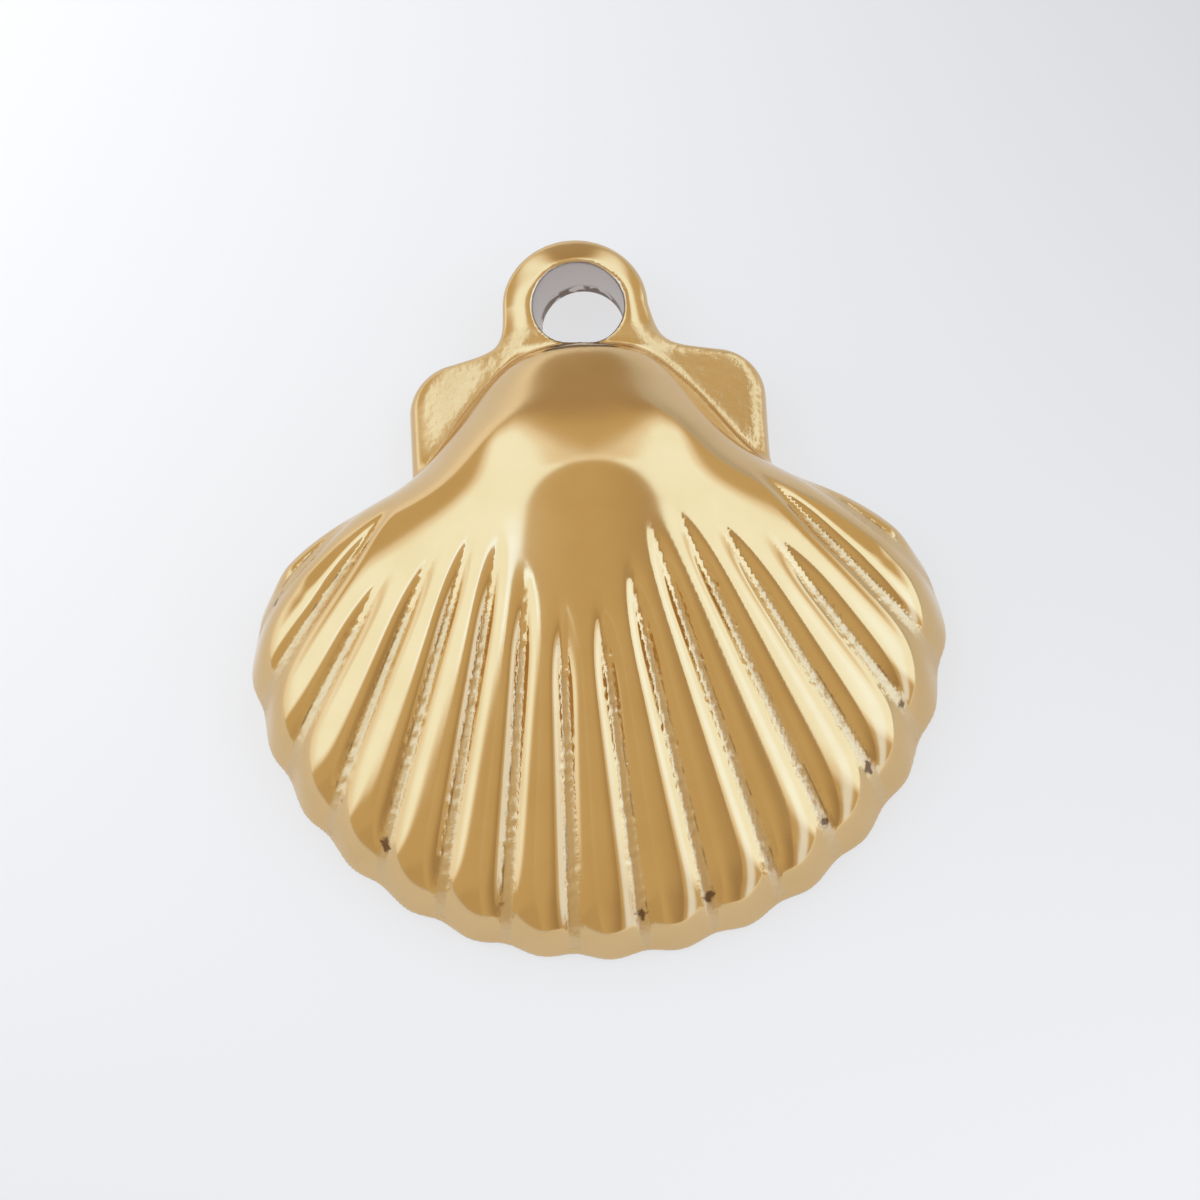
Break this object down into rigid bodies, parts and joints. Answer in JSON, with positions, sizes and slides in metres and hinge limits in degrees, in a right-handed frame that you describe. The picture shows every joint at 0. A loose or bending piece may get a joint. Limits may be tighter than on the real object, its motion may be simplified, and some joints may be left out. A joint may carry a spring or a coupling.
{
  "type": "scallop shell charm",
  "caption": "Cast metal charm in the form of a ribbed scallop shell, with two ears at the hinge and a bored bail for a jump ring.",
  "frame": {"origin": "centre of the bounding box on the flat back, in the plane the charm lies on", "axes": "+Z out of the shell's ribbed face, +Y from the fan's edge towards the bail, +X to the right seen from the face"},
  "size_m": [0.016, 0.0172, 0.0044],
  "materials": {
    "gold_plating": "mirror-polished gold-toned plating over cast steel, with cast grain left in the valleys and bare steel in the bail's bore"
  },
  "bodies": {
    "root": {"shell_charm": "gold_plating"}
  },
  "joints": []
}
